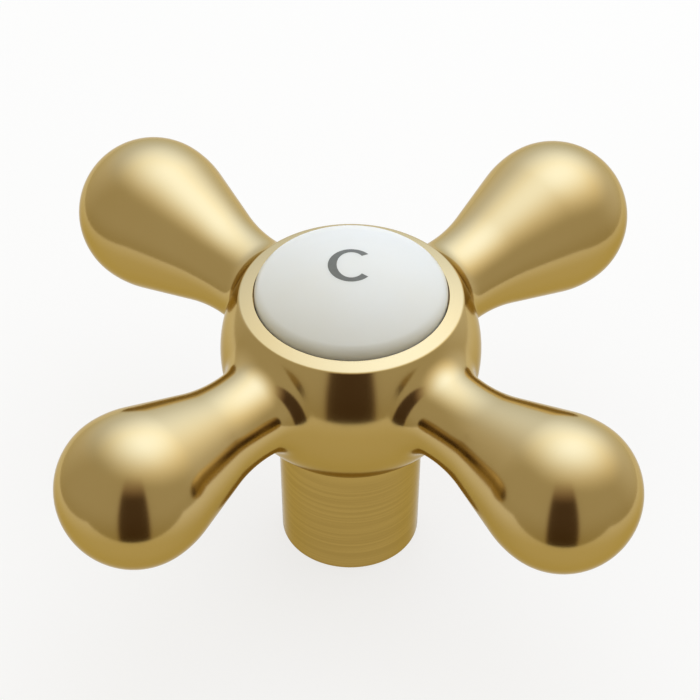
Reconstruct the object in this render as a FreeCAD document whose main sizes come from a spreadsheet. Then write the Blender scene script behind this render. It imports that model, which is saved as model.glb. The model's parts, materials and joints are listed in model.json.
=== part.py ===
import FreeCAD, Part
import Sketcher
import os
from FreeCAD import Placement, Rotation, Vector

# Cross handle for a tap: a one-piece brass casting with a ball hub, four teardrop arms
# and a drafted neck, closed on top by a domed porcelain button.
# Millimetres, +Z up, origin at the middle of the neck's bottom rim.

SIZES = [
    ("ball_radius", 12.7, "hub, a ball one inch across"),
    ("ball_rise", 23.7, "neck's bottom rim up to the ball's centre and the arms' axes"),
    ("land_rise", 6.85, "ball's centre up to the inner edge of the land around the button"),
    ("land_width", 1.2, "land around the button, from its recess out to the ball"),
    ("land_fall", 0.26, "land's fall from its inner edge to its rounded outer edge"),
    ("land_round", 0.4, "rounded outer edge of the land"),
    ("neck_radius", 7.1, "neck where it meets the ball"),
    ("neck_foot_radius", 6.8, "neck at its bottom rim, smaller by the casting's draft"),
    ("foot_round", 0.35, "rounded outer edge of the bottom rim"),
    ("arm_count", 4, "arms around the hub"),
    ("arm_reach", 36.0, "handle's axis to an arm's tip"),
    ("waist_reach", 14.6, "handle's axis to the thinnest place of an arm"),
    ("waist_radius", 4.46, "arm at its thinnest place"),
    ("taper_share", 0.448, "straight part of an arm, as a share of its run from waist to widest place"),
    ("belly_share", 0.238, "curve from that part to the widest place, as a share of the same run"),
    ("bulb_radius", 7.55, "round end of an arm"),
    ("root_fillet", 3.2, "blend between an arm and the ball"),
    ("lead_radius", 4.6, "round mouth of the spindle socket"),
    ("lead_depth", 5.0, "depth of that mouth"),
    ("spline_teeth", 20, "teeth of the spindle socket"),
    ("spline_inner_radius", 3.6, "handle's axis to the tips of the teeth"),
    ("spline_outer_radius", 4.05, "handle's axis to the bottom of a tooth space"),
    ("space_mouth", 0.78, "width of a tooth space, just inside the tips"),
    ("space_bottom", 0.3, "width of a tooth space at its bottom"),
    ("spline_length", 9.0, "toothed run of the socket"),
    ("web", 3.0, "wall between the socket and the screw's chamber"),
    ("screw_radius", 2.5, "handle screw's shank"),
    ("screw_length", 10.0, "handle screw below its head"),
    ("screw_bevel", 0.5, "bevel at the screw's end"),
    ("screw_clearance", 0.25, "screw in its hole, all round"),
    ("head_radius", 4.6, "screw's head"),
    ("head_height", 3.0, "screw's head"),
    ("head_round", 1.2, "rounded top edge of the head"),
    ("slot_width", 1.2, "driver slot of the head"),
    ("slot_depth", 1.4, "driver slot of the head"),
    ("button_clearance", 0.15, "porcelain button in its recess, all round"),
    ("recess_depth", 2.25, "land's inner edge down to the floor of the button's recess"),
    ("skirt_height", 2.4, "straight side of the button, from the floor up to the dome"),
    ("dome_height", 3.75, "dome above its start"),
    ("dome_shoulder", 1.4, "radius of the dome's shoulder"),
    ("glaze_round", 0.4, "rounded lower edge of the button"),
    ("plug_radius", 6.4, "plug that carries the button"),
    ("plug_clearance", 0.1, "plug in its bore, all round"),
    ("plug_height", 4.4, "plug below the button"),
    ("plug_bevel", 0.5, "bevel at the plug's lower edge"),
    ("stud_radius", 2.8, "plug's stud in the button"),
    ("stud_height", 2.4, "plug's stud in the button"),
    ("cement_gap", 0.15, "stud in its hole, sides and end"),
    ("seal_section", 1.6, "diameter of the O-ring's section"),
    ("seal_drop", 2.2, "plug's top down to the middle of the O-ring"),
    ("seal_play", 0.2, "room in the groove above and below the O-ring"),
    ("seal_clearance", 0.02, "O-ring to its groove's floor and to the bore"),
]

doc = FreeCAD.newDocument("tap_handle")
sheet = doc.addObject("Spreadsheet::Sheet", "sizes")
for row, (alias, value, note) in enumerate(SIZES, start=1):
    sheet.set(f"A{row}", alias)
    sheet.set(f"B{row}", str(value))
    sheet.set(f"C{row}", note)
    sheet.setAlias(f"B{row}", alias)
doc.recompute()

# Radii and heights that several pieces share, each worked out from the sheet.
LAND = "sizes.ball_rise + sizes.land_rise"
RECESS_RADIUS = "sqrt(sizes.ball_radius^2 - sizes.land_rise^2) - sizes.land_width"
BUTTON_RADIUS = f"{RECESS_RADIUS} - sizes.button_clearance"
RECESS_FLOOR = f"{LAND} - sizes.recess_depth"
PLUG_BORE = "sizes.plug_radius + sizes.plug_clearance"
SCREW_HOLE = "sizes.screw_radius + sizes.screw_clearance"
WEB_BOTTOM = "sizes.lead_depth + sizes.spline_length"
WEB_TOP = f"{WEB_BOTTOM} + sizes.web"
ARM_RUN = "(sizes.arm_reach - sizes.bulb_radius - sizes.waist_reach)"
TAPER_LENGTH = f"sizes.taper_share * {ARM_RUN}"
BELLY_RUN = f"sizes.belly_share * {ARM_RUN}"
ARM_START = "sizes.ball_radius - sizes.root_fillet"
DOME_TOP = "sizes.skirt_height + sizes.dome_height"
STUD_HOLE = "sizes.stud_radius + sizes.cement_gap"
STUD_HOLE_END = "sizes.stud_height + sizes.cement_gap"
SEAL_HEIGHT = "(sizes.plug_height - sizes.seal_drop)"
GROOVE_HALF = "(sizes.seal_section / 2 + sizes.seal_play)"
GROOVE_FLOOR = f"{PLUG_BORE} - sizes.seal_section - 2 * sizes.seal_clearance"
HEAD_TOP = "sizes.screw_length + sizes.head_height"

# The numbers that a sketch gives to the ends and centre of a curve, and to its own origin and axes.
START, END, MIDDLE = range(1, 4)
LEVEL_AXIS, UPRIGHT_AXIS = range(-1, -3, -1)
ORIGIN = LEVEL_AXIS
TOLERANCE = 1e-4


def size(expression):
    return float(sheet.evalExpression(expression))


def new_body(name, height="0"):
    body = doc.addObject("PartDesign::Body", name)
    body.Label = name
    body.Placement = Placement(Vector(0, 0, size(height)), Rotation())
    body.setExpression("Placement.Base.z", height)
    return body


def origin_feature(body, role):
    return next(item for item in body.Origin.OriginFeatures if item.Role == role)


def new_sketch(body, name, plane):
    sketch = body.newObject("Sketcher::SketchObject", name)
    sketch.AttachmentSupport = [(origin_feature(body, plane), "")]
    sketch.MapMode = "FlatFace"
    return sketch


def add_line(sketch, start, end):
    return sketch.addGeometry(Part.LineSegment(Vector(*start), Vector(*end)))


def add_arc(sketch, start, through, end):
    # Arcs run counter-clockwise, so that their start and end are the ones given here.
    return sketch.addGeometry(Part.Arc(Vector(*start), Vector(*through), Vector(*end)))


def constrain(sketch, kind, *where):
    return sketch.addConstraint(Sketcher.Constraint(kind, *where))


def bind(sketch, kind, *where, to):
    number = constrain(sketch, kind, *where, size(to))
    sketch.setExpression(f"Constraints[{number}]", to)


def pin(sketch, curve, end, across, up):
    # Ties a point to its two coordinates, or to an axis where a coordinate is zero.
    for kind, axis, value in (("DistanceX", UPRIGHT_AXIS, across), ("DistanceY", LEVEL_AXIS, up)):
        if value == "0":
            constrain(sketch, "PointOnObject", curve, end, axis)
        else:
            bind(sketch, kind, ORIGIN, START, curve, end, to=value)


def draw_outline(sketch, corners):
    # Closed outline of straight edges. Each corner is a pair of expressions.
    places = [(size(across), size(up)) for across, up in corners]
    edges = [add_line(sketch, *ends) for ends in zip(places, places[1:] + places[:1])]
    for edge, next_edge, (across, up) in zip(edges, edges[1:] + edges[:1], corners):
        pin(sketch, edge, START, across, up)
        constrain(sketch, "Coincident", edge, END, next_edge, START)


def draw_taper(sketch, low_width, low, high_width, high):
    # Four-sided outline, symmetric about the upright axis.
    left_low, right_low = (-size(low_width) / 2, size(low)), (size(low_width) / 2, size(low))
    left_high, right_high = (-size(high_width) / 2, size(high)), (size(high_width) / 2, size(high))
    bottom = add_line(sketch, left_low, right_low)
    right = add_line(sketch, right_low, right_high)
    top = add_line(sketch, right_high, left_high)
    left = add_line(sketch, left_high, left_low)
    for edge, next_edge in ((bottom, right), (right, top), (top, left), (left, bottom)):
        constrain(sketch, "Coincident", edge, END, next_edge, START)
    for edge, width, height in ((bottom, low_width, low), (top, high_width, high)):
        constrain(sketch, "Symmetric", edge, START, edge, END, UPRIGHT_AXIS)
        bind(sketch, "Distance", edge, to=width)
        bind(sketch, "DistanceY", ORIGIN, START, edge, START, to=height)


def add_turned(body, kind, name, sketch, axis="V_Axis"):
    turned = body.newObject(kind, name)
    turned.Profile = sketch
    turned.ReferenceAxis = (sketch, [axis])
    turned.Angle = 360
    doc.recompute()
    return turned


def add_ring_pattern(body, name, feature, count):
    pattern = body.newObject("PartDesign::PolarPattern", name)
    pattern.Originals = [feature]
    pattern.Axis = (origin_feature(body, "Z_Axis"), [""])
    pattern.Angle = 360
    pattern.setExpression("Occurrences", count)
    body.Tip = pattern
    doc.recompute()


def add_fillet(body, name, radius, chosen):
    base = body.Tip
    edges = []
    for number, edge in enumerate(base.Shape.Edges, start=1):
        if not edge.Degenerated and chosen(edge):
            edges.append(f"Edge{number}")
    fillet = body.newObject("PartDesign::Fillet", name)
    fillet.Base = (base, edges)
    fillet.setExpression("Radius", radius)
    doc.recompute()


def level_circle(radius, height):
    def chosen(edge):
        curve = edge.Curve
        return (
            isinstance(curve, Part.Circle)
            and abs(curve.Radius - size(radius)) < TOLERANCE
            and abs(curve.Center.z - size(height)) < TOLERANCE
            and abs(curve.Axis.z) > 1 - TOLERANCE
        )

    return chosen


def arm_root(edge):
    # A closed line on the ball that isn't level: where an arm leaves it.
    middle, radius = Vector(0, 0, size("sizes.ball_rise")), size("sizes.ball_radius")
    on_ball = all(abs((point - middle).Length - radius) < TOLERANCE for point in edge.discretize(8))
    return edge.isClosed() and on_ball and edge.BoundBox.ZLength > radius * TOLERANCE


def draw_hub(sketch):
    # Half section of the ball and its neck, closed on top by the land and a level line over the recess.
    ball, rise = size("sizes.ball_radius"), size("sizes.ball_rise")
    neck, foot = size("sizes.neck_radius"), size("sizes.neck_foot_radius")
    land_round = size("sizes.land_round")
    neck_top = rise - (ball**2 - neck**2) ** 0.5
    centre, recess_edge = Vector(0, rise), Vector(size(RECESS_RADIUS), size(LAND))
    along_land = Vector(size("sizes.land_width"), -size("sizes.land_fall")).normalize()
    from_land = Vector(-along_land.y, along_land.x)
    round_rise = (recess_edge - centre).dot(from_land) - land_round
    round_reach = ((ball - land_round) ** 2 - round_rise**2) ** 0.5
    round_centre = centre + from_land * round_rise + along_land * round_reach
    outward = (round_centre - centre).normalize()
    round_start = centre + outward * ball
    round_middle = round_centre + (outward + from_land).normalize() * land_round
    round_end = round_centre + from_land * land_round

    rim = add_line(sketch, (0, 0), (foot, 0))
    side = add_line(sketch, (foot, 0), (neck, neck_top))
    hub = add_arc(sketch, (neck, neck_top), (ball, rise), round_start)
    edge = add_arc(sketch, round_start, round_middle, round_end)
    land = add_line(sketch, round_end, recess_edge)
    top = add_line(sketch, recess_edge, (0, recess_edge.y))
    axis = add_line(sketch, (0, recess_edge.y), (0, 0))
    constrain(sketch, "Coincident", rim, END, side, START)
    constrain(sketch, "Coincident", side, END, hub, START)
    constrain(sketch, "Tangent", hub, END, edge, START)
    constrain(sketch, "Tangent", edge, END, land, START)
    constrain(sketch, "Coincident", land, END, top, START)
    constrain(sketch, "Coincident", top, END, axis, START)
    constrain(sketch, "Coincident", axis, END, rim, START)
    constrain(sketch, "Horizontal", top)
    pin(sketch, rim, START, "0", "0")
    pin(sketch, side, START, "sizes.neck_foot_radius", "0")
    pin(sketch, hub, MIDDLE, "0", "sizes.ball_rise")
    pin(sketch, land, END, RECESS_RADIUS, LAND)
    constrain(sketch, "PointOnObject", axis, START, UPRIGHT_AXIS)
    bind(sketch, "DistanceX", ORIGIN, START, side, END, to="sizes.neck_radius")
    bind(sketch, "DistanceY", land, START, land, END, to="sizes.land_fall")
    bind(sketch, "Radius", hub, to="sizes.ball_radius")
    bind(sketch, "Radius", edge, to="sizes.land_round")


def draw_arm(sketch):
    # Half section of one arm above its own axis. It starts inside the ball, narrows to the waist,
    # widens along a straight taper and swells through one more arc to the round end.
    inner, rise = size(ARM_START), size("sizes.ball_rise")
    waist_out, waist = size("sizes.waist_reach"), size("sizes.waist_radius")
    reach, bulb = size("sizes.arm_reach"), size("sizes.bulb_radius")
    run, taper, belly_run = size(ARM_RUN), size(TAPER_LENGTH), size(BELLY_RUN)
    bulb_out, swell = reach - bulb, bulb - waist
    half_slope = swell / (run + taper)
    sine = 2 * half_slope / (1 + half_slope**2)
    cosine = (1 - half_slope**2) / (1 + half_slope**2)
    belly, hollow_run = belly_run / sine, run - belly_run - taper * cosine
    hollow = hollow_run / sine
    taper_start = (waist_out + hollow_run, rise + waist + hollow * (1 - cosine))
    taper_end = (bulb_out - belly_run, rise + bulb - belly * (1 - cosine))
    inner_up = rise + waist + hollow - (hollow**2 - (waist_out - inner) ** 2) ** 0.5
    belly_up = rise + bulb - belly + (belly**2 - (belly_run / 2) ** 2) ** 0.5
    slant = bulb * 0.5**0.5

    axis = add_line(sketch, (inner, rise), (reach, rise))
    end = add_arc(sketch, (reach, rise), (bulb_out + slant, rise + slant), (bulb_out, rise + bulb))
    swelling = add_arc(sketch, (bulb_out, rise + bulb), (bulb_out - belly_run / 2, belly_up), taper_end)
    widening = add_line(sketch, taper_end, taper_start)
    narrowing = add_arc(sketch, (inner, inner_up), (waist_out, rise + waist), taper_start)
    root = add_line(sketch, (inner, inner_up), (inner, rise))
    thinnest = sketch.addGeometry(Part.Point(Vector(waist_out, rise + waist)), True)
    constrain(sketch, "Coincident", axis, END, end, START)
    constrain(sketch, "Tangent", end, END, swelling, START)
    constrain(sketch, "Tangent", swelling, END, widening, START)
    constrain(sketch, "Tangent", widening, END, narrowing, END)
    constrain(sketch, "Coincident", narrowing, START, root, START)
    constrain(sketch, "Coincident", root, END, axis, START)
    constrain(sketch, "Horizontal", axis)
    constrain(sketch, "Vertical", root)
    constrain(sketch, "PointOnObject", end, MIDDLE, axis)
    constrain(sketch, "Vertical", swelling, MIDDLE, end, MIDDLE)
    constrain(sketch, "PointOnObject", thinnest, START, narrowing)
    constrain(sketch, "Vertical", thinnest, START, narrowing, MIDDLE)
    pin(sketch, thinnest, START, "sizes.waist_reach", "sizes.ball_rise + sizes.waist_radius")
    pin(sketch, axis, START, ARM_START, "sizes.ball_rise")
    bind(sketch, "DistanceX", ORIGIN, START, axis, END, to="sizes.arm_reach")
    bind(sketch, "DistanceX", swelling, END, swelling, START, to=BELLY_RUN)
    bind(sketch, "Distance", widening, to=TAPER_LENGTH)
    bind(sketch, "Radius", end, to="sizes.bulb_radius")


def make_handle_body():
    body = new_body("handle_body")
    hub_section = new_sketch(body, "hub_section", "XZ_Plane")
    # The section stands between two arms, so that the ball's seam crosses none of them.
    hub_section.AttachmentOffset = Placement(Vector(), Rotation(Vector(0, 1, 0), 45))
    draw_hub(hub_section)
    add_turned(body, "PartDesign::Revolution", "hub", hub_section)

    arm_section = new_sketch(body, "arm_section", "XZ_Plane")
    draw_arm(arm_section)
    arm = add_turned(body, "PartDesign::Revolution", "arm", arm_section, axis="Edge1")
    add_ring_pattern(body, "arms", arm, "sizes.arm_count")
    add_fillet(body, "root_blends", "sizes.root_fillet", arm_root)
    add_fillet(body, "foot_edge", "sizes.foot_round", level_circle("sizes.neck_foot_radius", "0"))

    # Spindle socket, screw hole, plug bore and recess, from the rim up.
    bore_section = new_sketch(body, "bore_section", "XZ_Plane")
    draw_outline(bore_section, [
        ("0", "0"),
        ("sizes.lead_radius", "0"),
        ("sizes.lead_radius", "sizes.lead_depth"),
        ("sizes.spline_inner_radius", "sizes.lead_depth"),
        ("sizes.spline_inner_radius", WEB_BOTTOM),
        (SCREW_HOLE, WEB_BOTTOM),
        (SCREW_HOLE, WEB_TOP),
        (PLUG_BORE, WEB_TOP),
        (PLUG_BORE, RECESS_FLOOR),
        (RECESS_RADIUS, RECESS_FLOOR),
        (RECESS_RADIUS, LAND),
        ("0", LAND),
    ])
    add_turned(body, "PartDesign::Groove", "bores", bore_section)

    space_section = new_sketch(body, "space_section", "XY_Plane")
    space_section.setExpression("AttachmentOffset.Base.z", "sizes.lead_depth")
    draw_taper(
        space_section,
        "sizes.space_mouth", "sizes.spline_inner_radius - sizes.space_bottom",
        "sizes.space_bottom", "sizes.spline_outer_radius",
    )
    space = body.newObject("PartDesign::Pocket", "tooth_space")
    space.Profile = space_section
    space.setExpression("Length", "sizes.spline_length")
    space.Reversed = True
    doc.recompute()
    add_ring_pattern(body, "tooth_spaces", space, "sizes.spline_teeth")
    return body


def draw_button(sketch):
    # Half section of the button: a straight skirt in the recess, then the dome's shoulder and crown.
    # The hole in its underside takes the plug's stud.
    radius, shoulder = size(BUTTON_RADIUS), size("sizes.dome_shoulder")
    hole, hole_end = size(STUD_HOLE), size(STUD_HOLE_END)
    dome_start, dome_top = size("sizes.skirt_height"), size(DOME_TOP)
    rise, inset = dome_top - dome_start, radius - shoulder
    crown = (inset**2 + rise**2 - shoulder**2) / (2 * (rise - shoulder))
    crown_centre = Vector(0, dome_top - crown)
    outward = (Vector(inset, dome_start) - crown_centre).normalize()
    shoulder_middle = Vector(inset, dome_start) + (outward + Vector(1, 0)).normalize() * shoulder
    crown_middle = crown_centre + (outward + Vector(0, 1)).normalize() * crown
    shoulder_end = crown_centre + outward * crown

    base = add_line(sketch, (hole, 0), (radius, 0))
    skirt = add_line(sketch, (radius, 0), (radius, dome_start))
    shoulder_arc = add_arc(sketch, (radius, dome_start), shoulder_middle, shoulder_end)
    crown_arc = add_arc(sketch, shoulder_end, crown_middle, (0, dome_top))
    axis = add_line(sketch, (0, dome_top), (0, hole_end))
    hole_top = add_line(sketch, (0, hole_end), (hole, hole_end))
    hole_side = add_line(sketch, (hole, hole_end), (hole, 0))
    constrain(sketch, "Coincident", base, END, skirt, START)
    constrain(sketch, "Tangent", skirt, END, shoulder_arc, START)
    constrain(sketch, "Tangent", shoulder_arc, END, crown_arc, START)
    constrain(sketch, "Coincident", crown_arc, END, axis, START)
    constrain(sketch, "Coincident", axis, END, hole_top, START)
    constrain(sketch, "Coincident", hole_top, END, hole_side, START)
    constrain(sketch, "Coincident", hole_side, END, base, START)
    constrain(sketch, "PointOnObject", crown_arc, MIDDLE, UPRIGHT_AXIS)
    pin(sketch, base, START, STUD_HOLE, "0")
    pin(sketch, skirt, START, BUTTON_RADIUS, "0")
    pin(sketch, skirt, END, BUTTON_RADIUS, "sizes.skirt_height")
    pin(sketch, axis, START, "0", DOME_TOP)
    pin(sketch, hole_top, START, "0", STUD_HOLE_END)
    pin(sketch, hole_side, START, STUD_HOLE, STUD_HOLE_END)
    bind(sketch, "Radius", shoulder_arc, to="sizes.dome_shoulder")


def make_index_button():
    # Stands on the floor of its recess.
    body = new_body("index_button", RECESS_FLOOR)
    section = new_sketch(body, "button_section", "XZ_Plane")
    draw_button(section)
    add_turned(body, "PartDesign::Revolution", "button", section)
    add_fillet(body, "lower_edge", "sizes.glaze_round", level_circle(BUTTON_RADIUS, "0"))
    return body


def make_button_plug():
    # Hangs under the button, flush with the recess floor, with its stud cemented in the button.
    body = new_body("button_plug", f"{RECESS_FLOOR} - sizes.plug_height")
    section = new_sketch(body, "plug_section", "XZ_Plane")
    draw_outline(section, [
        ("0", "0"),
        ("sizes.plug_radius - sizes.plug_bevel", "0"),
        ("sizes.plug_radius", "sizes.plug_bevel"),
        ("sizes.plug_radius", f"{SEAL_HEIGHT} - {GROOVE_HALF}"),
        (GROOVE_FLOOR, f"{SEAL_HEIGHT} - {GROOVE_HALF}"),
        (GROOVE_FLOOR, f"{SEAL_HEIGHT} + {GROOVE_HALF}"),
        ("sizes.plug_radius", f"{SEAL_HEIGHT} + {GROOVE_HALF}"),
        ("sizes.plug_radius", "sizes.plug_height"),
        ("sizes.stud_radius", "sizes.plug_height"),
        ("sizes.stud_radius", "sizes.plug_height + sizes.stud_height"),
        ("0", "sizes.plug_height + sizes.stud_height"),
    ])
    add_turned(body, "PartDesign::Revolution", "plug", section)
    return body


def make_button_o_ring():
    # Lies in the plug's groove and grips the wall of the plug bore.
    ring = doc.addObject("Part::Torus", "button_o_ring")
    ring.Label = "button_o_ring"
    ring.setExpression("Radius1", f"{PLUG_BORE} - sizes.seal_clearance - sizes.seal_section / 2")
    ring.setExpression("Radius2", "sizes.seal_section / 2")
    ring.setExpression("Placement.Base.z", f"{RECESS_FLOOR} - sizes.seal_drop")
    return ring


def make_handle_screw():
    # Hangs by its head from the web, with its shank in the socket.
    body = new_body("handle_screw", f"{WEB_TOP} - sizes.screw_length")
    section = new_sketch(body, "screw_section", "XZ_Plane")
    draw_outline(section, [
        ("0", "0"),
        ("sizes.screw_radius - sizes.screw_bevel", "0"),
        ("sizes.screw_radius", "sizes.screw_bevel"),
        ("sizes.screw_radius", "sizes.screw_length"),
        ("sizes.head_radius", "sizes.screw_length"),
        ("sizes.head_radius", HEAD_TOP),
        ("0", HEAD_TOP),
    ])
    add_turned(body, "PartDesign::Revolution", "screw", section)
    add_fillet(body, "head_edge", "sizes.head_round", level_circle("sizes.head_radius", HEAD_TOP))
    slot_section = new_sketch(body, "slot_section", "XZ_Plane")
    draw_taper(
        slot_section,
        "sizes.slot_width", f"{HEAD_TOP} - sizes.slot_depth",
        "sizes.slot_width", HEAD_TOP,
    )
    slot = body.newObject("PartDesign::Pocket", "driver_slot")
    slot.Profile = slot_section
    slot.Midplane = True
    slot.setExpression("Length", "2 * sizes.head_radius")
    doc.recompute()
    return body


pieces = [
    make_handle_body(),
    make_index_button(),
    make_button_plug(),
    make_button_o_ring(),
    make_handle_screw(),
]
doc.recompute()

for item in doc.Objects:
    if "Invalid" in item.State or "Error" in item.State:
        raise RuntimeError(f"{item.Label} failed: {item.State}")
for piece in pieces:
    if piece.Shape.isNull() or not piece.Shape.isValid() or len(piece.Shape.Solids) != 1:
        raise RuntimeError(f"{piece.Label} has no single valid solid")

os.makedirs("parts", exist_ok=True)
for piece in pieces:
    piece.Shape.exportStep(f"parts/{piece.Label}.step")
    print(f"{piece.Label}: {piece.Shape.Volume:.1f} mm3")
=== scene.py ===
import json
import math

import bmesh
import bpy
from mathutils import Matrix, Vector

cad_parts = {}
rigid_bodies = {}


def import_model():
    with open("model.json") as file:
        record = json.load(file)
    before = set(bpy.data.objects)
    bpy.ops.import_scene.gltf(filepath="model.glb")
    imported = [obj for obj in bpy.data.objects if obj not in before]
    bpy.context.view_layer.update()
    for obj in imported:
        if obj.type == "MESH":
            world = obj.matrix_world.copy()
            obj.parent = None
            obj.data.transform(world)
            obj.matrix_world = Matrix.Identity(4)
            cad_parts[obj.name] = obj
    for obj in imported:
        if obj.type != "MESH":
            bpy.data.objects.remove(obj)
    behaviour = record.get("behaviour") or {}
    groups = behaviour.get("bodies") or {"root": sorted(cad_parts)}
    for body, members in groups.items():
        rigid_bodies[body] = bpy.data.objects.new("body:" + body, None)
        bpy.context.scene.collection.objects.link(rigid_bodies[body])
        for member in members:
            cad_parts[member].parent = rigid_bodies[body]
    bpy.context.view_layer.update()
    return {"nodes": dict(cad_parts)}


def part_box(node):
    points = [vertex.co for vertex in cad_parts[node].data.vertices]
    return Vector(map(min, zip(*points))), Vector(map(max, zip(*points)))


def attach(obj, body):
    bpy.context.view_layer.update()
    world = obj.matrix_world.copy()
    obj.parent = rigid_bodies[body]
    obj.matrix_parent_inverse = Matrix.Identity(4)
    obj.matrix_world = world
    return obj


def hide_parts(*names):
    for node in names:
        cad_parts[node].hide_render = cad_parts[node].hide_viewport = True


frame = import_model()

mm = 0.001
nodes = frame["nodes"]
scene = bpy.context.scene
scene.view_settings.view_transform = "Standard"

# What several pieces share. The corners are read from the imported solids.
bodyLow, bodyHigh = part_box("handle_body")
buttonLow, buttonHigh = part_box("index_button")
hubRise = 23.7 * mm               # neck's rim up to the ball's centre
hubCentre = Vector((0, 0, hubRise))
joinWithin = 1e-4 * mm            # points closer than this become one
sharpAngle = math.radians(30)     # a fold steeper than this keeps its edge
print("frame:", len(nodes), "nodes, reach", round((bodyHigh.x - bodyLow.x) / mm, 2), "mm")


def linear(hexColour):
    # sRGB hex to the linear colour that a socket takes
    parts = [int(hexColour[i:i + 2], 16) / 255 for i in (1, 3, 5)]
    return [p / 12.92 if p <= 0.04045 else ((p + 0.055) / 1.055) ** 2.4 for p in parts] + [1.0]


def addNode(tree, kind, sockets, **settings):
    # a socket takes a plain value or another node's output
    node = tree.nodes.new("ShaderNode" + kind)
    for name, value in settings.items():
        setattr(node, name, value)
    for name, value in sockets.items():
        if isinstance(value, bpy.types.NodeSocket):
            tree.links.new(value, node.inputs[name])
        else:
            node.inputs[name].default_value = value
    return node


def newMaterial(name):
    material = bpy.data.materials.new(name)
    material.use_nodes = True
    material.node_tree.nodes.clear()
    return material, material.node_tree


def mottle(tree, place, size, colours, detail=3):
    # fields of a real size, and two colours that they mix
    fields = addNode(tree, "TexNoise", {"Vector": place, "Scale": 1 / size, "Detail": detail}).outputs["Fac"]
    first, second = (linear(colour) for colour in colours)
    mixed = addNode(tree, "Mix", {"Factor": fields, "A": first, "B": second}, data_type="RGBA")
    return fields, mixed.outputs["Result"]


def addPiece(name, mesh, material):
    piece = bpy.data.objects.new(name, mesh)
    scene.collection.objects.link(piece)
    mesh.materials.append(material)
    return piece


def standFor(nodeName, name, mesh, material):
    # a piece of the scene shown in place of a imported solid
    piece = addPiece(name, mesh, material)
    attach(piece, "root")
    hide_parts(nodeName)
    return piece


def dress(nodeName, material):
    for slot in nodes[nodeName].material_slots:
        slot.material = material


def arc(centre, start, end, steps):
    # points along the shorter arc from start to end
    radius = math.dist(centre, start)
    turn = math.atan2(start[1] - centre[1], start[0] - centre[0])
    sweep = math.atan2(end[1] - centre[1], end[0] - centre[0]) - turn
    sweep = (sweep + math.pi) % math.tau - math.pi
    angles = [turn + sweep * i / steps for i in range(steps + 1)]
    return [(centre[0] + radius * math.cos(a), centre[1] + radius * math.sin(a)) for a in angles]


def turnedRings(profile, points, first=0.0):
    # a ring of points about the upright axis for each radius and height
    angles = [first + math.tau * i / points for i in range(points)]
    return [[Vector((r * math.cos(a), r * math.sin(a), z)) for a in angles] for r, z in profile]


def skinMesh(name, chains):
    # quads from ring to ring; ends that meet are joined, and a ring of no size becomes a point
    shape = bmesh.new()
    for rings in chains:
        rows = [[shape.verts.new(place) for place in ring] for ring in rings]
        for row, following in zip(rows, rows[1:]):
            for i in range(len(row)):
                shape.faces.new((row[i - 1], row[i], following[i], following[i - 1]))
    bmesh.ops.remove_doubles(shape, verts=shape.verts, dist=joinWithin)
    bmesh.ops.recalc_face_normals(shape, faces=shape.faces)
    mesh = bpy.data.meshes.new(name)
    shape.to_mesh(mesh)
    shape.free()
    mesh.shade_smooth()
    mesh.set_sharp_from_angle(angle=sharpAngle)
    return mesh


# Camera, matched to the photo.
photoView = {
    "azimuth": 45.46,            # degrees, between the two front arms
    "elevation": 42.17,
    "roll": 0.26,
    "distance": 395.2 * mm,      # to the hub's centre
    "pixelsPerMm": 10.28,        # at the hub's centre
    "imagePixels": 700,
    "hubPixel": (350.4, 346.9),  # the hub's centre in the image
}


def addCamera():
    azimuth, elevation, roll = (math.radians(photoView[k]) for k in ("azimuth", "elevation", "roll"))
    back = Vector((
        math.sin(azimuth) * math.cos(elevation),
        -math.cos(azimuth) * math.cos(elevation),
        math.sin(elevation),
    ))
    level = Vector((math.cos(azimuth), math.sin(azimuth), 0))
    turn = Matrix.Rotation(roll, 3, back)
    right, up = turn @ level, turn @ back.cross(level)
    middle = (photoView["imagePixels"] - 1) / 2
    aside = (photoView["hubPixel"][0] - middle) / photoView["pixelsPerMm"] * mm
    above = (middle - photoView["hubPixel"][1]) / photoView["pixelsPerMm"] * mm
    eye = hubCentre + back * photoView["distance"] - right * aside - up * above

    data = bpy.data.cameras.new("photoCamera")
    data.sensor_width = 36
    frameWidth = photoView["imagePixels"] / photoView["pixelsPerMm"] * mm
    data.lens = data.sensor_width * photoView["distance"] / frameWidth
    data.clip_start, data.clip_end = 0.01, 10
    camera = bpy.data.objects.new("photoCamera", data)
    camera.matrix_world = Matrix.Translation(eye) @ Matrix((right, up, back)).transposed().to_4x4()
    scene.collection.objects.link(camera)
    scene.camera = camera


addCamera()
print("camera: lens", round(scene.camera.data.lens, 1), "mm")


# Handle body: lacquered brass, sand cast, then polished by hand and on the lathe.
handleSizes = {
    "ball": 12.7 * mm,
    "landRise": 6.85 * mm,        # ball's centre up to the land's inner edge
    "landWidth": 1.2 * mm,
    "landFall": 0.26 * mm,
    "landRound": 0.4 * mm,
    "recessDepth": 2.25 * mm,
    "neck": 7.1 * mm,             # radius at the ball
    "neckFoot": 6.8 * mm,
    "footRound": 0.35 * mm,
    "reach": bodyHigh.x,
    "bulb": bodyHigh.z - hubCentre.z,
    "taperShare": 0.448,          # straight part of the arm's run from waist to widest place
    "bellyShare": 0.238,          # curve from there to the widest place
    "waist": 4.46 * mm,
    "waistReach": 14.6 * mm,
    "rootFillet": 3.2 * mm,
    "plugBore": 6.5 * mm,
    "screwHole": 2.75 * mm,
    "web": (14 * mm, 17 * mm),    # wall between the socket and the plug's bore
    "mouth": (4.6 * mm, 5 * mm),  # radius and depth
    "teeth": 20,
    "toothTip": 3.6 * mm,
    "spaceBottom": 4.05 * mm,
    "spaceHalf": (0.294 * mm, 0.15 * mm),  # half widths at the tips and at the bottom
    "perQuarter": 25,             # points in a quarter of a ring, five to a tooth
}


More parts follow.
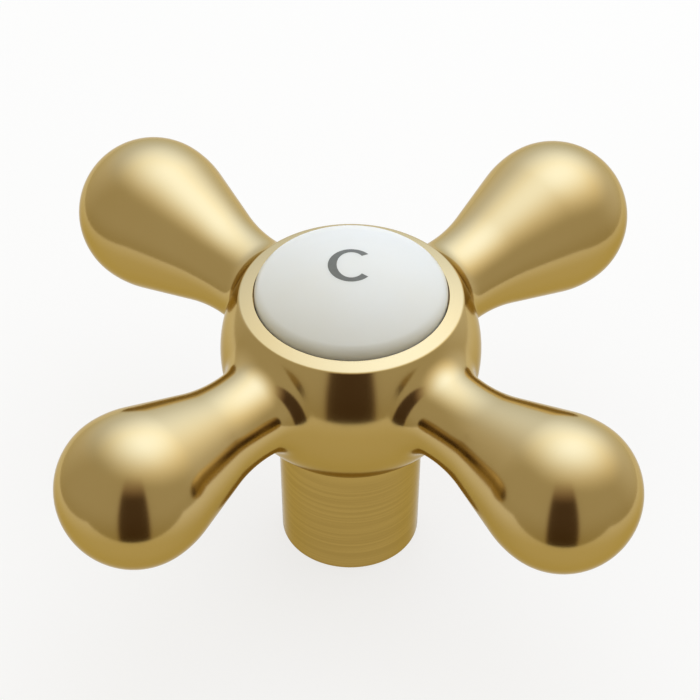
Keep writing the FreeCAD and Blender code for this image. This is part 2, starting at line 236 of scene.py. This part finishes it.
def landSection():
    # the land and its rounded edge as radius and height, from the ball up to the recess
    s = handleSizes
    inner = Vector(((s["ball"]**2 - s["landRise"]**2) ** 0.5 - s["landWidth"], s["landRise"]))
    along = Vector((s["landWidth"], -s["landFall"])).normalized()
    away = Vector((-along.y, along.x))
    rise = inner.dot(away) - s["landRound"]
    centre = away * rise + along * ((s["ball"] - s["landRound"]) ** 2 - rise**2) ** 0.5
    edge = arc(centre, centre.normalized() * s["ball"], centre + away * s["landRound"], 10)
    return [(r, z + hubCentre.z) for r, z in edge + [inner]]


def armSection():
    # along the arm and out from its axis, from the fillet's start on the ball to the tip
    s = handleSizes
    bulbOut = s["reach"] - s["bulb"]
    run, swell = bulbOut - s["waistReach"], s["bulb"] - s["waist"]
    taper, bellyRun = run * s["taperShare"], run * s["bellyShare"]
    slope = 2 * math.atan(swell / (run + taper))
    belly = bellyRun / math.sin(slope)
    hollowRun = run - bellyRun - taper * math.cos(slope)
    hollowRadius = hollowRun / math.sin(slope)
    taperStart = (s["waistReach"] + hollowRun, s["waist"] + hollowRadius * (1 - math.cos(slope)))
    taperEnd = (bulbOut - bellyRun, s["bulb"] - belly * (1 - math.cos(slope)))
    hollow = Vector((s["waistReach"], s["waist"] + hollowRadius))
    fromBall, fromHollow = s["ball"] + s["rootFillet"], hollowRadius - s["rootFillet"]
    cosine = (fromBall**2 + hollow.length_squared - fromHollow**2) / (2 * fromBall * hollow.length)
    lean = math.atan2(hollow.y, hollow.x) - math.acos(cosine)
    fillet = Vector((math.cos(lean), math.sin(lean))) * fromBall
    onBall = fillet * (s["ball"] / fromBall)
    onArm = hollow + (fillet - hollow).normalized() * hollowRadius
    straight = [tuple(Vector(taperStart).lerp(Vector(taperEnd), i / 8)) for i in range(1, 8)]
    return (
        arc(fillet, onBall, onArm, 10)
        + arc(hollow, onArm, taperStart, 12)[1:]
        + straight
        + arc((bulbOut, s["bulb"] - belly), taperEnd, (bulbOut, s["bulb"]), 10)
        + arc((bulbOut, 0), (bulbOut, s["bulb"]), (s["reach"], 0), 26)[1:]
    )


def armRings(armTurn, elevations):
    # a quarter of the ball, between the land, the neck and two upright edges, and the arm that leaves it
    side, steps = handleSizes["perQuarter"], 12
    top, bottom = elevations
    share = [i / side for i in range(side)]
    quarter = math.pi / 4
    border = (
        [(quarter * (1 - 2 * t), top) for t in share]
        + [(-quarter, top + (bottom - top) * t) for t in share]
        + [(-quarter * (1 - 2 * t), bottom) for t in share]
        + [(quarter, bottom + (top - bottom) * t) for t in share]
    )
    edge = [Vector((math.cos(a) * math.cos(e), math.sin(a) * math.cos(e), math.sin(e))) for a, e in border]
    section = armSection()
    around = [quarter * (1 + 2 * i / side) for i in range(4 * side)]
    arm = [[Vector((u, v * math.cos(a), v * math.sin(a))) for a in around] for u, v in section]
    ball = [
        [e.lerp(p.normalized(), i / steps).normalized() * handleSizes["ball"] for e, p in zip(edge, arm[0])]
        for i in range(steps)
    ]
    turn = Matrix.Rotation(armTurn, 3, "Z")
    return [[hubCentre + turn @ place for place in ring] for ring in ball + arm]


def toothRing(height):
    # five points to a tooth, starting in the middle of a tip
    s = handleSizes
    (mouth, bottom), pitch = s["spaceHalf"], math.tau / s["teeth"]
    spots = [
        (-pitch / 2, s["toothTip"]),
        (-math.asin(mouth / s["toothTip"]), s["toothTip"]),
        (-math.atan2(bottom, s["spaceBottom"]), math.hypot(bottom, s["spaceBottom"])),
        (math.atan2(bottom, s["spaceBottom"]), math.hypot(bottom, s["spaceBottom"])),
        (math.asin(mouth / s["toothTip"]), s["toothTip"]),
    ]
    first = math.pi / 4 + pitch / 2
    places = [(first + tooth * pitch + turn, r) for tooth in range(s["teeth"]) for turn, r in spots]
    return [Vector((r * math.cos(a), r * math.sin(a), height)) for a, r in places]


def handleMesh():
    s = handleSizes
    around, first = 4 * s["perQuarter"], math.pi / 4
    land = landSection()
    recess, floor = land[-1][0], land[-1][1] - s["recessDepth"]
    (webLow, webHigh), (mouth, mouthDepth) = s["web"], s["mouth"]
    neckTop = hubCentre.z - (s["ball"]**2 - s["neck"]**2) ** 0.5
    draft = (s["neck"] - s["neckFoot"]) / neckTop
    footOut = s["neckFoot"] - s["footRound"] * (math.hypot(1, draft) - draft)
    lean = math.atan(draft)
    footEnd = (footOut + s["footRound"] * math.cos(lean), s["footRound"] * (1 - math.sin(lean)))
    upper = land + [
        (recess, floor), (s["plugBore"], floor), (s["plugBore"], webHigh),
        (s["screwHole"], webHigh), (s["screwHole"], webLow),
    ]
    lower = [(mouth, mouthDepth), (mouth, 0)]
    lower += arc((footOut, s["footRound"]), (footOut, 0), footEnd, 6) + [(s["neck"], neckTop)]
    turned = (
        turnedRings(upper, around, first)
        + [toothRing(webLow), toothRing(mouthDepth)]
        + turnedRings(lower, around, first)
    )
    elevations = [math.atan2(z - hubCentre.z, r) for r, z in (land[0], lower[-1])]
    arms = [armRings(math.tau * i / 4, elevations) for i in range(4)]
    return skinMesh("handleCasting", [turned] + arms)


brassFinish = {
    "colour": "#CCB583",
    "deepColour": "#C6AD77",      # where the polish went a little deeper
    "cloud": 7 * mm,              # size of those fields
    "paintedShadeColour": "#AF924E",       # painted shade: lower faces and the neck darker, standing in for the shadowed floor they mirror
    "paintedShadeTurn": (0.5, -0.05),      # upward share of the normal where the painted shade starts, and where it is full
    "paintedHighlightColour": "#C6B68E",       # painted highlight: upper faces paler, where the lamp's highlights fall
    "paintedHighlightTurn": (0.75, 1),
    "edgeColour": "#E2D6B8",      # what is left of the colour at a glancing angle
    "roughness": 0.155,
    "roughnessSpread": 0.05,
    "turnedLine": 0.28 * mm,      # lathe lines round the neck, drawn coarser than real to show
    "turnedRun": 25 * mm,         # length of a line before it fades
    "turnedDepth": 0.003 * mm,
    "turnedTop": 12.5 * mm,       # height up to which the lathe lines go
    "turnedFade": 1 * mm,         # over which they come in below it
    "groove": (0.42, 0.62),       # noise level at which a line is full, and where it starts
    "grooveColour": "#8F7338",    # dirt and old lacquer in the lines
    "grooveShare": 0.3,
    "streakLine": 0.22 * mm,      # upright polishing lines on the hub, also drawn coarser
    "streakRun": 9 * mm,
    "streakDepth": 0.0012 * mm,
    "hubReach": handleSizes["ball"],
    "hubFade": 2 * mm,            # beyond the ball, where the upright lines end
}


def satinBrass():
    # Polished brass under lacquer: soft-edged mirror reflections, with faint tool lines in them.
    finish = brassFinish
    material, tree = newMaterial("polishedLacqueredBrass")
    coords = addNode(tree, "TexCoord", {})
    place = coords.outputs["Object"]
    axes = addNode(tree, "SeparateXYZ", {"Vector": place})
    flat = addNode(tree, "VectorMath", {0: place, 1: (1, 1, 0)}, operation="MULTIPLY")
    reach = addNode(tree, "VectorMath", {0: flat.outputs["Vector"]}, operation="LENGTH")
    angle = addNode(tree, "Math", {0: axes.outputs["Y"], 1: axes.outputs["X"]}, operation="ARCTAN2")

    cloud, colour = mottle(tree, place, finish["cloud"], (finish["colour"], finish["deepColour"]))

    # painted shade: faces that point sideways or down get a darker colour, by the normal's upward share
    slope = addNode(tree, "SeparateXYZ", {"Vector": coords.outputs["Normal"]})
    low = addNode(tree, "MapRange", {
        "Value": slope.outputs["Z"], "From Min": finish["paintedShadeTurn"][0], "From Max": finish["paintedShadeTurn"][1],
    }, interpolation_type="SMOOTHSTEP")
    paintedShadeTone = addNode(tree, "Mix", {
        "Factor": low.outputs["Result"], "A": colour, "B": linear(finish["paintedShadeColour"]),
    }, data_type="RGBA")
    # painted highlight: faces that point up get a paler colour, on top of the painted shade below
    top = addNode(tree, "MapRange", {
        "Value": slope.outputs["Z"], "From Min": finish["paintedHighlightTurn"][0], "From Max": finish["paintedHighlightTurn"][1],
    }, interpolation_type="SMOOTHSTEP")
    shadeAndHighlightTone = addNode(tree, "Mix", {
        "Factor": top.outputs["Result"], "A": paintedShadeTone.outputs["Result"], "B": linear(finish["paintedHighlightColour"]),
    }, data_type="RGBA")

    turned = addNode(tree, "Mapping", {
        "Vector": place,
        "Scale": (1 / finish["turnedRun"], 1 / finish["turnedRun"], 1 / finish["turnedLine"]),
    })
    turnedLines = addNode(tree, "TexNoise", {"Vector": turned.outputs["Vector"], "Scale": 1, "Detail": 2})
    around = addNode(tree, "Math", {
        0: angle.outputs[0], 1: finish["hubReach"] / finish["streakLine"],
    }, operation="MULTIPLY")
    upward = addNode(tree, "Math", {0: axes.outputs["Z"], 1: 1 / finish["streakRun"]}, operation="MULTIPLY")
    streak = addNode(tree, "CombineXYZ", {"X": around.outputs[0], "Y": upward.outputs[0]})
    streakLines = addNode(tree, "TexNoise", {"Vector": streak.outputs["Vector"], "Scale": 1, "Detail": 2})
    onNeck = addNode(tree, "MapRange", {
        "Value": axes.outputs["Z"],
        "From Min": finish["turnedTop"],
        "From Max": finish["turnedTop"] - finish["turnedFade"],
    })
    groove = addNode(tree, "MapRange", {
        "Value": turnedLines.outputs["Fac"],
        "From Min": finish["groove"][1],
        "From Max": finish["groove"][0],
        "To Max": finish["grooveShare"],
    })
    grooved = addNode(tree, "Math", {
        0: groove.outputs["Result"], 1: onNeck.outputs["Result"],
    }, operation="MULTIPLY")
    tone = addNode(tree, "Mix", {
        "Factor": grooved.outputs[0], "A": shadeAndHighlightTone.outputs["Result"], "B": linear(finish["grooveColour"]),
    }, data_type="RGBA")
    onHub = addNode(tree, "MapRange", {
        "Value": reach.outputs["Value"],
        "From Min": finish["hubReach"] + finish["hubFade"],
        "From Max": finish["hubReach"],
    })
    hubLines = addNode(tree, "Mix", {
        "Factor": onHub.outputs["Result"], "A": cloud, "B": streakLines.outputs["Fac"],
    }, data_type="FLOAT")
    lines = addNode(tree, "Mix", {
        "Factor": onNeck.outputs["Result"],
        "A": hubLines.outputs["Result"],
        "B": turnedLines.outputs["Fac"],
    }, data_type="FLOAT")
    depth = addNode(tree, "MapRange", {
        "Value": onNeck.outputs["Result"], "To Min": finish["streakDepth"], "To Max": finish["turnedDepth"],
    })
    height = addNode(tree, "Math", {
        0: lines.outputs["Result"], 1: depth.outputs["Result"],
    }, operation="MULTIPLY")
    bump = addNode(tree, "Bump", {"Height": height.outputs[0], "Distance": 1, "Strength": 1})
    roughness = addNode(tree, "MapRange", {
        "Value": lines.outputs["Result"],
        "To Min": finish["roughness"] - finish["roughnessSpread"] / 2,
        "To Max": finish["roughness"] + finish["roughnessSpread"] / 2,
    })
    shader = addNode(tree, "BsdfPrincipled", {
        "Base Color": tone.outputs["Result"],
        "Metallic": 1,
        "Roughness": roughness.outputs["Result"],
        "Specular Tint": linear(finish["edgeColour"]),
        "Normal": bump.outputs["Normal"],
    })
    addNode(tree, "OutputMaterial", {"Surface": shader.outputs["BSDF"]})
    return material


casting = standFor("handle_body", "handleCasting", handleMesh(), satinBrass())
print("handle body:", len(casting.data.polygons), "faces")


# Index button: white porcelain, cast and glazed.
buttonSizes = {
    "radius": buttonHigh.x,
    "skirt": 2.4 * mm,            # straight side, up to the dome
    "shoulder": 1.4 * mm,
    "lowerRound": 0.4 * mm,
    "studHole": (2.95 * mm, 2.55 * mm),  # radius and depth
}


def crownRadius():
    # the dome's large arc, which meets the shoulder without a corner
    s = buttonSizes
    inset, height = s["radius"] - s["shoulder"], buttonHigh.z - buttonLow.z - s["skirt"]
    return (inset**2 + height**2 - s["shoulder"]**2) / (2 * (height - s["shoulder"]))


def buttonMesh():
    s = buttonSizes
    floor, apex, crown = buttonLow.z, buttonHigh.z, crownRadius()
    (hole, depth), dome = s["studHole"], floor + s["skirt"]
    middle = Vector((0, apex - crown))
    corner = Vector((s["radius"] - s["shoulder"], dome))
    meet = middle + (corner - middle).normalized() * crown
    low = s["lowerRound"]
    profile = [(0, floor + depth), (hole, floor + depth), (hole, floor)]
    side = s["radius"]
    profile += arc((side - low, floor + low), (side - low, floor), (side, floor + low), 6)
    profile += arc(corner, (side, dome), meet, 14)
    profile += arc(middle, meet, (0, apex), 24)[1:]
    return skinMesh("porcelainButton", [turnedRings(profile, 128)])


porcelainFinish = {
    "colour": "#E5E8E9",
    "warmColour": "#E2E4E2",
    "cloud": 5 * mm,
    "ripple": 2.5 * mm,           # slow waves in the glaze
    "rippleDepth": 0.004 * mm,
    "roughness": 0.12,
    "ior": 1.5,
    "glowWeight": 0.3,            # share of the light that spreads inside the white body
    "glowDepth": 1.2 * mm,
    "glowReach": (1, 0.9, 0.8),   # red goes furthest
}


def glazedPorcelain():
    # A dense white body under clear glaze: soft white with a mirror skin that waves a little.
    finish = porcelainFinish
    material, tree = newMaterial("glazedPorcelain")
    place = addNode(tree, "TexCoord", {}).outputs["Object"]
    colour = mottle(tree, place, finish["cloud"], (finish["colour"], finish["warmColour"]))[1]
    ripple = addNode(tree, "TexNoise", {"Vector": place, "Scale": 1 / finish["ripple"], "Detail": 1})
    bump = addNode(tree, "Bump", {
        "Height": ripple.outputs["Fac"], "Distance": finish["rippleDepth"], "Strength": 1,
    })
    shader = addNode(tree, "BsdfPrincipled", {
        "Base Color": colour,
        "Roughness": finish["roughness"],
        "IOR": finish["ior"],
        "Subsurface Weight": finish["glowWeight"],
        "Subsurface Radius": finish["glowReach"],
        "Subsurface Scale": finish["glowDepth"],
        "Normal": bump.outputs["Normal"],
    })
    addNode(tree, "OutputMaterial", {"Surface": shader.outputs["BSDF"]})
    return material


button = standFor("index_button", "porcelainButton", buttonMesh(), glazedPorcelain())
print("index button:", len(button.data.polygons), "faces")


# Index mark: a plain capital C in grey ceramic ink, fired on the glaze.
markSizes = {
    "half": (2.25 * mm, 2.35 * mm),   # half width and half height outside
    "inside": (1.4 * mm, 1.85 * mm),  # and inside, so that the stroke is broadest at its back
    "mouth": 44,                      # degrees above and below the opening's middle
    "proud": 0.012 * mm,
    "sunk": 0.03 * mm,                # its lower face lies in the glaze
    "steps": 60,
}


def markMesh():
    s = markSizes
    apex, crown = buttonHigh.z, crownRadius()
    turn = Matrix.Rotation(math.radians(photoView["azimuth"]), 3, "Z")
    across = [(0, s["proud"]), (0.5, s["proud"]), (1, s["proud"]), (1, -s["sunk"]), (0, -s["sunk"])]
    rings = []
    for i in range(s["steps"] + 1):
        angle = math.radians(s["mouth"] + (360 - 2 * s["mouth"]) * i / s["steps"])
        along = Vector((math.cos(angle), math.sin(angle)))
        inner, outer = (Vector((a * along.x, b * along.y)) for a, b in (s["inside"], s["half"]))
        ring = []
        for share, lift in across:
            spot = inner.lerp(outer, share)
            height = apex - crown + (crown**2 - spot.length_squared) ** 0.5
            ring.append(turn @ Vector((spot.x, spot.y, height + lift)))
        rings.append(ring)
    ends = [[sum(ring, Vector()) / len(ring)] * len(ring) for ring in (rings[0], rings[-1])]
    return skinMesh("indexMark", [[ends[0]] + rings + [ends[1]]])


inkFinish = {
    "colour": "#585B57",
    "thinColour": "#686B66",      # where the ink lies thinner
    "patch": 0.5 * mm,
    "roughness": 0.3,
    "ior": 1.5,
}


def firedInk():
    # Grey ceramic ink: flat colour, a little uneven, duller than the glaze round it.
    finish = inkFinish
    material, tree = newMaterial("firedCeramicInk")
    place = addNode(tree, "TexCoord", {}).outputs["Object"]
    colour = mottle(tree, place, finish["patch"], (finish["colour"], finish["thinColour"]), detail=2)[1]
    shader = addNode(tree, "BsdfPrincipled", {
        "Base Color": colour, "Roughness": finish["roughness"], "IOR": finish["ior"],
    })
    addNode(tree, "OutputMaterial", {"Surface": shader.outputs["BSDF"]})
    return material


mark = addPiece("indexMark", markMesh(), firedInk())
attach(mark, "root")
print("index mark:", len(mark.data.polygons), "faces")


# Button plug: brass off the lathe, hidden under the porcelain.
plugFinish = {
    "colour": "#BFA063",
    "dullColour": "#A98A50",
    "cloud": 4 * mm,
    "turnedLine": 0.25 * mm,
    "turnedRun": 20 * mm,
    "lineDepth": 0.002 * mm,
    "roughness": 0.28,
}


def turnedBrass():
    # Bare brass as the tool left it: fine rings that draw the reflections out.
    finish = plugFinish
    material, tree = newMaterial("turnedBareBrass")
    place = addNode(tree, "TexCoord", {}).outputs["Object"]
    colour = mottle(tree, place, finish["cloud"], (finish["colour"], finish["dullColour"]))[1]
    rings = addNode(tree, "Mapping", {
        "Vector": place,
        "Scale": (1 / finish["turnedRun"], 1 / finish["turnedRun"], 1 / finish["turnedLine"]),
    })
    lines = addNode(tree, "TexNoise", {"Vector": rings.outputs["Vector"], "Scale": 1, "Detail": 2})
    bump = addNode(tree, "Bump", {
        "Height": lines.outputs["Fac"], "Distance": finish["lineDepth"], "Strength": 1,
    })
    shader = addNode(tree, "BsdfPrincipled", {
        "Base Color": colour,
        "Metallic": 1,
        "Roughness": finish["roughness"],
        "Normal": bump.outputs["Normal"],
    })
    addNode(tree, "OutputMaterial", {"Surface": shader.outputs["BSDF"]})
    return material


dress("button_plug", turnedBrass())


# O-ring: nitrile rubber, moulded.
rubberFinish = {
    "colour": "#1D1D1E",
    "bloomColour": "#2B2B2A",     # pale bloom that rubber gets as it ages
    "bloom": 1.5 * mm,
    "grain": 0.12 * mm,
    "grainDepth": 0.004 * mm,
    "roughness": 0.55,
    "ior": 1.52,
}


def mouldedNitrile():
    # Black rubber: deep and dull, with a soft broad shine.
    finish = rubberFinish
    material, tree = newMaterial("mouldedNitrileRubber")
    place = addNode(tree, "TexCoord", {}).outputs["Object"]
    colour = mottle(tree, place, finish["bloom"], (finish["colour"], finish["bloomColour"]))[1]
    grain = addNode(tree, "TexNoise", {"Vector": place, "Scale": 1 / finish["grain"], "Detail": 1})
    bump = addNode(tree, "Bump", {
        "Height": grain.outputs["Fac"], "Distance": finish["grainDepth"], "Strength": 1,
    })
    shader = addNode(tree, "BsdfPrincipled", {
        "Base Color": colour,
        "Roughness": finish["roughness"],
        "IOR": finish["ior"],
        "Normal": bump.outputs["Normal"],
    })
    addNode(tree, "OutputMaterial", {"Surface": shader.outputs["BSDF"]})
    return material


dress("button_o_ring", mouldedNitrile())
print("plug and O-ring: dressed")


# Handle screw: steel, with a rolled M5 thread, plated with zinc.
screwLow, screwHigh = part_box("handle_screw")
screwSizes = {
    "shank": 2.5 * mm,
    "core": 2.07 * mm,
    "pitch": 0.8 * mm,
    "threadEnd": 14.2 * mm,       # height at which the thread runs out into the plain shank
    "runOut": 0.8 * mm,
    "bevel": 0.5 * mm,
    "head": 3 * mm,               # height
    "headRound": 1.2 * mm,
    "slot": (1.2 * mm, 1.4 * mm),  # width and depth
    "points": 64,
    "ringsPerPitch": 12,
}


def threadRadius(turn, height):
    # flat crest an eighth of the pitch wide, flat root a quarter, straight flanks
    s = screwSizes
    away = abs((height / s["pitch"] - turn / math.tau) % 1 * 2 - 1)
    cut = min(max((away - 0.125) / 0.625, 0), 1)
    cut *= min(max((s["threadEnd"] + s["runOut"] - height) / s["runOut"], 0), 1)
    radius = s["shank"] - (s["shank"] - s["core"]) * cut
    return min(radius, s["shank"] - s["bevel"] + height - screwLow.z)


def screwMesh():
    s = screwSizes
    under, top, head = screwHigh.z - s["head"], screwHigh.z, screwHigh.x
    turns = [math.tau * i / s["points"] for i in range(s["points"])]
    count = round((under - screwLow.z) / s["pitch"] * s["ringsPerPitch"])
    heights = [screwLow.z + (under - screwLow.z) * i / count for i in range(count + 1)]
    thread = []
    for height in heights:
        radii = [threadRadius(turn, height) for turn in turns]
        thread.append([Vector((r * math.cos(a), r * math.sin(a), height)) for a, r in zip(turns, radii)])
    curve = s["headRound"]
    outside = [(head, under)]
    outside += arc((head - curve, top - curve), (head, top - curve), (head - curve, top), 10)
    outside += [(0, top)]
    chain = turnedRings([(0, screwLow.z)], s["points"]) + thread + turnedRings(outside, s["points"])
    mesh = skinMesh("zincScrew", [chain])

    # the driver's slot is cut with a block
    width, depth = s["slot"]
    shape = bmesh.new()
    bmesh.ops.create_cube(shape, size=1, matrix=Matrix.LocRotScale(
        Vector((0, 0, top)), None, Vector((3 * head, width, 2 * depth)),
    ))
    block = bpy.data.meshes.new("slotBlock")
    shape.to_mesh(block)
    shape.free()
    blank, cutter = (bpy.data.objects.new(m.name, m) for m in (mesh, block))
    for thing in (blank, cutter):
        scene.collection.objects.link(thing)
    cut = blank.modifiers.new("slot", "BOOLEAN")
    cut.operation, cut.object = "DIFFERENCE", cutter
    bpy.context.view_layer.update()
    whole = bpy.data.meshes.new_from_object(blank.evaluated_get(bpy.context.evaluated_depsgraph_get()))
    for thing in (blank, cutter):
        bpy.data.objects.remove(thing)
    whole.name = "zincScrewSlotted"
    whole.set_sharp_from_angle(angle=sharpAngle)
    return whole


zincFinish = {
    "colour": "#B4B6B4",
    "dullColour": "#9FA09A",
    "spangle": 0.8 * mm,
    "roughness": 0.3,
    "roughnessSpread": 0.12,
}


def platedSteel():
    # Zinc on steel: blue-grey metal, cloudy where the plating is thicker.
    finish = zincFinish
    material, tree = newMaterial("zincPlatedSteel")
    place = addNode(tree, "TexCoord", {}).outputs["Object"]
    spangle, colour = mottle(tree, place, finish["spangle"], (finish["colour"], finish["dullColour"]))
    roughness = addNode(tree, "MapRange", {
        "Value": spangle,
        "To Min": finish["roughness"] - finish["roughnessSpread"] / 2,
        "To Max": finish["roughness"] + finish["roughnessSpread"] / 2,
    })
    shader = addNode(tree, "BsdfPrincipled", {
        "Base Color": colour, "Metallic": 1, "Roughness": roughness.outputs["Result"],
    })
    addNode(tree, "OutputMaterial", {"Surface": shader.outputs["BSDF"]})
    return material


screw = standFor("handle_screw", "zincScrew", screwMesh(), platedSteel())
print("handle screw:", len(screw.data.polygons), "faces")


# Stage: a white board, and a light tent that glows at the back and is open at the camera.
stageSizes = {
    "boardFront": 58 * mm,        # edge nearest the camera, from the hub's axis
    "boardBack": 160 * mm,
    "boardSide": 80 * mm,
    "boardDrop": 0.05 * mm,       # below the neck's rim, so that the two faces don't share a plane
    "boardColour": "#F4F4F4",
    "boardWhite": 0.76,           # share of plain white that an eye or a mirror sees
    "tentRadius": 450 * mm,
    "cloth": 0.5,                 # radiance of the dim cloth, a warm white
    "clothTint": (1.07, 0.97, 0.7, 1),
    "glow": 1.15,                 # added where the lamp stands behind it, a cool white
    "glowTint": (0.95, 1.02, 1.16, 1),
    "glowAzimuth": 144.5,         # degrees from the camera's side, towards the right
    "glowElevation": 66.8,
    "glowEdge": 0.42,             # cosine at which the glow ends
    "glowFall": 1.73,             # how fast it fades towards that edge
    "back": 0.5,                  # added on the lit side away from the camera
    "backAzimuth": 170,
    "backElevation": 15,
    "backFall": 1.46,
    "slotHalf": 19.5,             # degrees to each side of the camera
    "slotSoft": 5,                # degrees
    "slotFade": (26, 66),         # degrees up: where it starts to close, and where it ends
    "slotTint": (1.2, 0.75, 0.45, 1),
    "slotRadiance": 0.07,
}


def boardPaper():
    # Matt white card, white to the camera and to mirrors, with the object's shadow kept.
    material, tree = newMaterial("mattWhiteBoard")
    path = addNode(tree, "LightPath", {})
    seen = addNode(tree, "Math", {
        0: path.outputs["Is Camera Ray"], 1: path.outputs["Is Glossy Ray"],
    }, operation="MAXIMUM")
    seenThrough = addNode(tree, "Math", {
        0: seen.outputs[0], 1: path.outputs["Is Transmission Ray"],
    }, operation="MAXIMUM")
    share = addNode(tree, "Math", {
        0: seenThrough.outputs[0], 1: stageSizes["boardWhite"],
    }, operation="MULTIPLY")
    paper = addNode(tree, "BsdfDiffuse", {"Color": linear(stageSizes["boardColour"])})
    white = addNode(tree, "Emission", {"Color": (1, 1, 1, 1), "Strength": 1})
    front = addNode(tree, "MixShader", {0: share.outputs[0], 1: paper.outputs[0], 2: white.outputs[0]})
    clear = addNode(tree, "BsdfTransparent", {})
    side = addNode(tree, "NewGeometry", {})
    both = addNode(tree, "MixShader", {
        0: side.outputs["Backfacing"], 1: front.outputs[0], 2: clear.outputs[0],
    })
    addNode(tree, "OutputMaterial", {"Surface": both.outputs[0]})
    return material


def tentCloth():
    # Thin white cloth, lit from outside by a high lamp and a weaker one at the back, with a dark opening.
    sizes = stageSizes
    material, tree = newMaterial("litTentCloth")
    place = addNode(tree, "TexCoord", {}).outputs["Object"]
    towards = addNode(tree, "VectorMath", {0: place}, operation="NORMALIZE").outputs["Vector"]

    def facing(name, edge):
        azimuth, elevation = (math.radians(sizes[name + key]) for key in ("Azimuth", "Elevation"))
        lamp = (
            math.sin(azimuth) * math.cos(elevation),
            -math.cos(azimuth) * math.cos(elevation),
            math.sin(elevation),
        )
        cosine = addNode(tree, "VectorMath", {0: towards, 1: lamp}, operation="DOT_PRODUCT")
        near = addNode(tree, "MapRange", {"Value": cosine.outputs["Value"], "From Min": edge})
        faded = addNode(tree, "Math", {
            0: near.outputs["Result"], 1: sizes[name + "Fall"],
        }, operation="POWER")
        return faded.outputs[0]

    glow, back = facing("glow", sizes["glowEdge"]), facing("back", 0)
    lit = addNode(tree, "Math", {0: back, 1: sizes["back"], 2: sizes["cloth"]}, operation="MULTIPLY_ADD")
    cloth = addNode(tree, "Math", {0: glow, 1: sizes["glow"], 2: lit.outputs[0]}, operation="MULTIPLY_ADD")
    both = addNode(tree, "Math", {0: glow, 1: back}, operation="MAXIMUM")
    tint = addNode(tree, "Mix", {
        "Factor": both.outputs[0], "A": sizes["clothTint"], "B": sizes["glowTint"],
    }, data_type="RGBA")

    axes = addNode(tree, "SeparateXYZ", {"Vector": towards})
    aside = addNode(tree, "Math", {0: axes.outputs["X"]}, operation="ABSOLUTE")
    outward = addNode(tree, "Math", {0: axes.outputs["Y"], 1: -1}, operation="MULTIPLY")
    turn = addNode(tree, "Math", {0: aside.outputs[0], 1: outward.outputs[0]}, operation="ARCTAN2")
    half, soft = math.radians(sizes["slotHalf"]), math.radians(sizes["slotSoft"])
    fade, top = (math.sin(math.radians(angle)) for angle in sizes["slotFade"])
    within = addNode(tree, "MapRange", {
        "Value": turn.outputs[0], "From Min": half + soft / 2, "From Max": half - soft / 2,
    }, interpolation_type="SMOOTHSTEP")
    below = addNode(tree, "MapRange", {
        "Value": axes.outputs["Z"], "From Min": top, "From Max": fade,
    }, interpolation_type="SMOOTHSTEP")
    slot = addNode(tree, "Math", {
        0: within.outputs["Result"], 1: below.outputs["Result"],
    }, operation="MULTIPLY")
    strength = addNode(tree, "Mix", {
        "Factor": slot.outputs[0], "A": cloth.outputs[0], "B": sizes["slotRadiance"],
    }, data_type="FLOAT")
    colour = addNode(tree, "Mix", {
        "Factor": slot.outputs[0], "A": tint.outputs["Result"], "B": sizes["slotTint"],
    }, data_type="RGBA")
    shine = addNode(tree, "Emission", {
        "Color": colour.outputs["Result"], "Strength": strength.outputs["Result"],
    })
    addNode(tree, "OutputMaterial", {"Surface": shine.outputs[0]})
    return material


def addStage():
    sizes = stageSizes
    turn = Matrix.Rotation(math.radians(photoView["azimuth"]), 4, "Z")
    corners = [
        (-sizes["boardSide"], -sizes["boardFront"], 0),
        (sizes["boardSide"], -sizes["boardFront"], 0),
        (sizes["boardSide"], sizes["boardBack"], 0),
        (-sizes["boardSide"], sizes["boardBack"], 0),
    ]
    mesh = bpy.data.meshes.new("whiteBoard")
    mesh.from_pydata(corners, [], [(0, 1, 2, 3)])
    board = addPiece("whiteBoard", mesh, boardPaper())
    board.matrix_world = Matrix.Translation((0, 0, -sizes["boardDrop"])) @ turn

    shape = bmesh.new()
    bmesh.ops.create_uvsphere(shape, u_segments=48, v_segments=24, radius=sizes["tentRadius"])
    mesh = bpy.data.meshes.new("lightTent")
    shape.to_mesh(mesh)
    shape.free()
    tent = addPiece("lightTent", mesh, tentCloth())
    tent.matrix_world = Matrix.Translation(hubCentre) @ turn
    tent.visible_camera = False

    world = bpy.data.worlds.new("whiteRoom")
    world.use_nodes = True
    world.node_tree.nodes["Background"].inputs["Color"].default_value = (1, 1, 1, 1)
    scene.world = world


addStage()
print("stage: board and tent")
